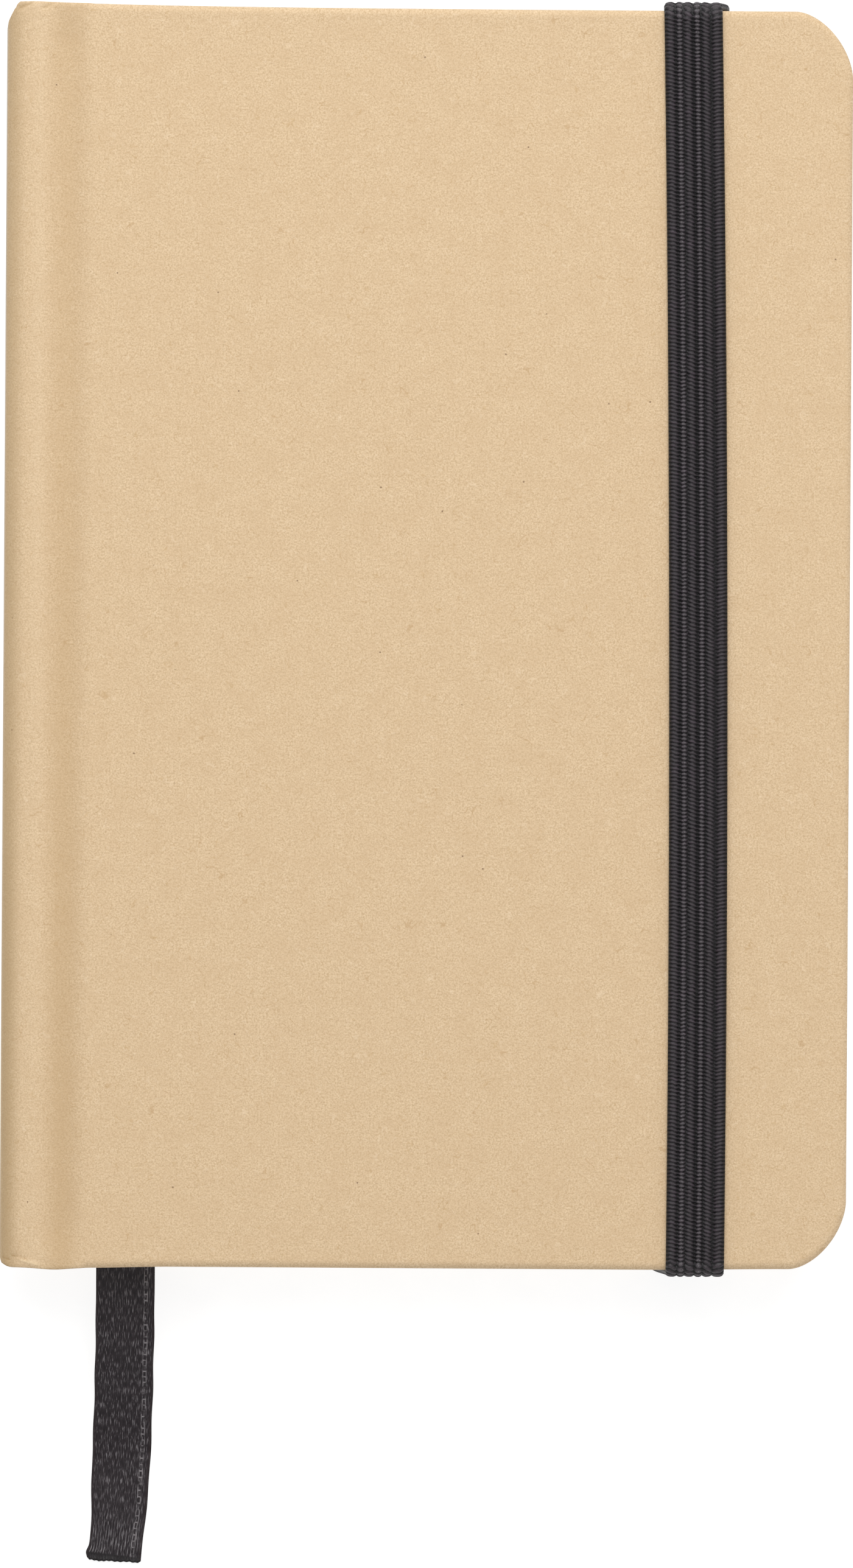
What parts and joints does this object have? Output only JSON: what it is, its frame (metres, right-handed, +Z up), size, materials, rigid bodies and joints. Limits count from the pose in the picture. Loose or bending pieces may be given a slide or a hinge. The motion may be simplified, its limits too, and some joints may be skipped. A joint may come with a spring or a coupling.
{
  "type": "pocket notebook",
  "caption": "Kraft-covered hardback pocket notebook with sewn pages, a ribbon bookmark and an elastic closure; it opens flat at the ribbon.",
  "frame": {"origin": "under the middle of the covers, level with the underside of the elastic on the back cover", "axes": "+Z up through the front cover, +X from the spine to the fore-edge, +Y from the tail to the head"},
  "size_m": [0.095, 0.1773, 0.0161],
  "materials": {
    "kraft_paper": "matte",
    "grey_board": "matte",
    "endpaper": "matte",
    "page_paper": "matte",
    "mull_cloth": "matte",
    "linen_thread": "matte",
    "ribbon_satin": "satin",
    "elastic_black": "matte"
  },
  "bodies": {
    "back_cover": {"back_board": "grey_board", "back_wrap": "kraft_paper", "back_joint": "kraft_paper", "back_pastedown": "endpaper", "back_flyleaf": "endpaper", "section_10": "page_paper", "mull": "mull_cloth", "sewing_threads": "linen_thread", "ribbon_tab": "ribbon_satin", "elastic_stub_head": "elastic_black", "elastic_stub_tail": "elastic_black", "elastic_end_head": "elastic_black", "elastic_end_tail": "elastic_black"},
    "spine": {"spine_board": "grey_board", "spine_wrap": "kraft_paper", "spine_lining": "endpaper"},
    "front_cover": {"front_board": "grey_board", "front_wrap": "kraft_paper", "front_joint": "kraft_paper", "front_pastedown": "endpaper", "front_flyleaf": "endpaper", "section_01": "page_paper"},
    "pages_02": {"section_02": "page_paper"},
    "pages_03": {"section_03": "page_paper"},
    "pages_04": {"section_04": "page_paper"},
    "pages_05": {"section_05": "page_paper"},
    "pages_06": {"section_06": "page_paper", "ribbon_bookmark": "ribbon_satin"},
    "pages_07": {"section_07": "page_paper"},
    "pages_08": {"section_08": "page_paper"},
    "pages_09": {"section_09": "page_paper"},
    "elastic_sides": {"elastic_arm_head": "elastic_black", "elastic_arm_tail": "elastic_black"},
    "elastic_front": {"elastic_front_run": "elastic_black"}
  },
  "joints": [
    {"name": "spine_hinge", "type": "hinge", "parent": "back_cover", "child": "spine", "pos_m": [-0.0465, 0, 0.00175], "axis": [0, -1, 0], "range_deg": [0, 90], "deforming": ["mull", "sewing_threads", "ribbon_tab"]},
    {"name": "front_cover_hinge", "type": "hinge", "parent": "spine", "child": "front_cover", "pos_m": [-0.0465, 0, 0.0142], "axis": [0, -1, 0], "range_deg": [0, 90]},
    {"name": "pages_05_fan", "type": "slide", "parent": "front_cover", "child": "pages_05", "axis": [-1, 0, 0], "range_m": [0, 0.00778]},
    {"name": "pages_04_fan", "type": "slide", "parent": "front_cover", "child": "pages_04", "axis": [-1, 0, 0], "range_m": [0, 0.00583]},
    {"name": "pages_03_fan", "type": "slide", "parent": "front_cover", "child": "pages_03", "axis": [-1, 0, 0], "range_m": [0, 0.00389]},
    {"name": "pages_02_fan", "type": "slide", "parent": "front_cover", "child": "pages_02", "axis": [-1, 0, 0], "range_m": [0, 0.00194]},
    {"name": "pages_06_fan", "type": "slide", "parent": "back_cover", "child": "pages_06", "axis": [-1, 0, 0], "range_m": [0, 0.00778]},
    {"name": "pages_07_fan", "type": "slide", "parent": "back_cover", "child": "pages_07", "axis": [-1, 0, 0], "range_m": [0, 0.00583]},
    {"name": "pages_08_fan", "type": "slide", "parent": "back_cover", "child": "pages_08", "axis": [-1, 0, 0], "range_m": [0, 0.00389]},
    {"name": "pages_09_fan", "type": "slide", "parent": "back_cover", "child": "pages_09", "axis": [-1, 0, 0], "range_m": [0, 0.00194]},
    {"name": "elastic_shift", "type": "slide", "parent": "back_cover", "child": "elastic_sides", "axis": [1, 0, 0], "range_m": [-0.015, 0.0065], "deforming": ["elastic_arm_head", "elastic_arm_tail"]},
    {"name": "elastic_drop", "type": "slide", "parent": "elastic_sides", "child": "elastic_front", "axis": [0, 0, -1], "range_m": [0, 0.00738], "deforming": ["elastic_front_run"]}
  ],
  "couplings": [
    {"joint": "spine_hinge", "follows": "front_cover_hinge", "ratio": 1},
    {"joint": "pages_05_fan", "follows": "front_cover_hinge", "m_per_rad": 0.0049497},
    {"joint": "pages_04_fan", "follows": "front_cover_hinge", "m_per_rad": 0.0037123},
    {"joint": "pages_03_fan", "follows": "front_cover_hinge", "m_per_rad": 0.0024749},
    {"joint": "pages_02_fan", "follows": "front_cover_hinge", "m_per_rad": 0.0012374},
    {"joint": "pages_06_fan", "follows": "front_cover_hinge", "m_per_rad": 0.0049497},
    {"joint": "pages_07_fan", "follows": "front_cover_hinge", "m_per_rad": 0.0037123},
    {"joint": "pages_08_fan", "follows": "front_cover_hinge", "m_per_rad": 0.0024749},
    {"joint": "pages_09_fan", "follows": "front_cover_hinge", "m_per_rad": 0.0012374},
    {"joint": "elastic_drop", "follows": "front_cover_hinge", "m_per_rad": 0.0046983}
  ]
}
